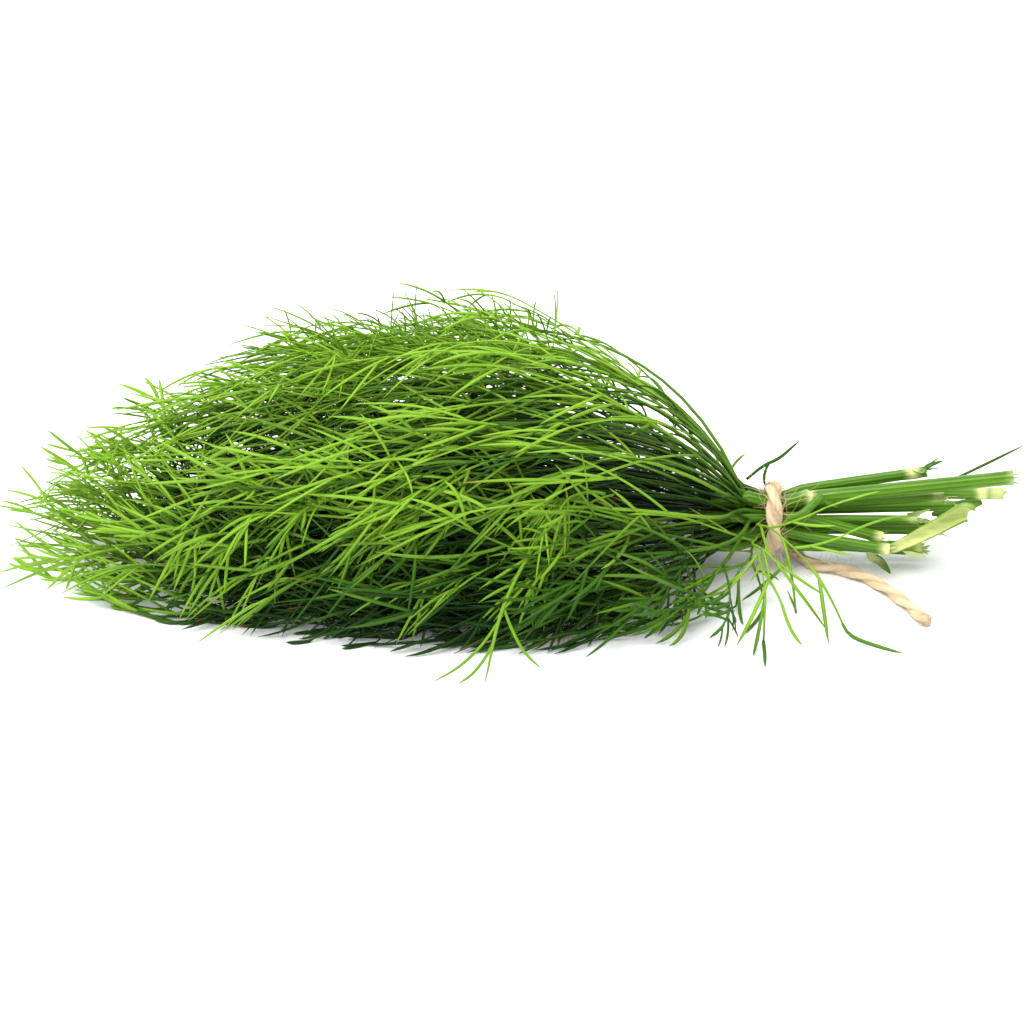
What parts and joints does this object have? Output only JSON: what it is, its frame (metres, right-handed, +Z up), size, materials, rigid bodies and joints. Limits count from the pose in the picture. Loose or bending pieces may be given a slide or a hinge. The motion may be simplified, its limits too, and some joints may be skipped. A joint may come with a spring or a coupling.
{
  "type": "bunch of dill",
  "caption": "A fresh bunch of dill lying on its side, feathery green crown combed one way, cut stems the other, tied round with jute twine",
  "frame": {"origin": "middle of the bunch's footprint on the surface it lies on, the free tail of the twine not counted", "axes": "+X along the bunch towards the cut ends, +Y towards the back, +Z up"},
  "size_m": [0.2232, 0.0982, 0.0525],
  "materials": {
    "leaf": "satin",
    "stem": "satin",
    "sheath": "satin",
    "twine": "matte"
  },
  "bodies": {
    "root": {"stem_01": "stem", "stem_02": "stem", "stem_03": "stem", "stem_04": "stem", "stem_05": "stem", "stem_06": "stem", "stem_07": "stem", "stem_08": "stem", "stem_09": "stem", "stem_10": "stem", "stem_11": "stem", "stem_12": "stem", "stem_13": "stem", "stem_14": "stem", "bent_petiole": "stem", "split_stem": "sheath", "sheath_top": "sheath", "sheath_low": "sheath", "leaf_outer_01": "leaf", "leaf_outer_02": "leaf", "leaf_outer_03": "leaf", "leaf_outer_04": "leaf", "leaf_outer_05": "leaf", "leaf_outer_06": "leaf", "leaf_outer_07": "leaf", "leaf_outer_08": "leaf", "leaf_outer_09": "leaf", "leaf_outer_10": "leaf", "leaf_outer_11": "leaf", "leaf_middle_01": "leaf", "leaf_middle_02": "leaf", "leaf_middle_03": "leaf", "leaf_middle_04": "leaf", "leaf_middle_05": "leaf", "leaf_middle_06": "leaf", "leaf_middle_07": "leaf", "leaf_middle_08": "leaf", "leaf_middle_09": "leaf", "leaf_inner_01": "leaf", "leaf_inner_02": "leaf", "leaf_inner_03": "leaf", "leaf_inner_04": "leaf", "leaf_inner_05": "leaf", "leaf_skirt_01": "leaf", "leaf_skirt_02": "leaf", "leaf_skirt_03": "leaf", "leaf_skirt_04": "leaf", "leaf_top_spray": "leaf", "leaf_stray": "leaf", "twine_wrap": "twine", "twine_knot": "twine", "twine_tail": "twine"}
  },
  "joints": []
}
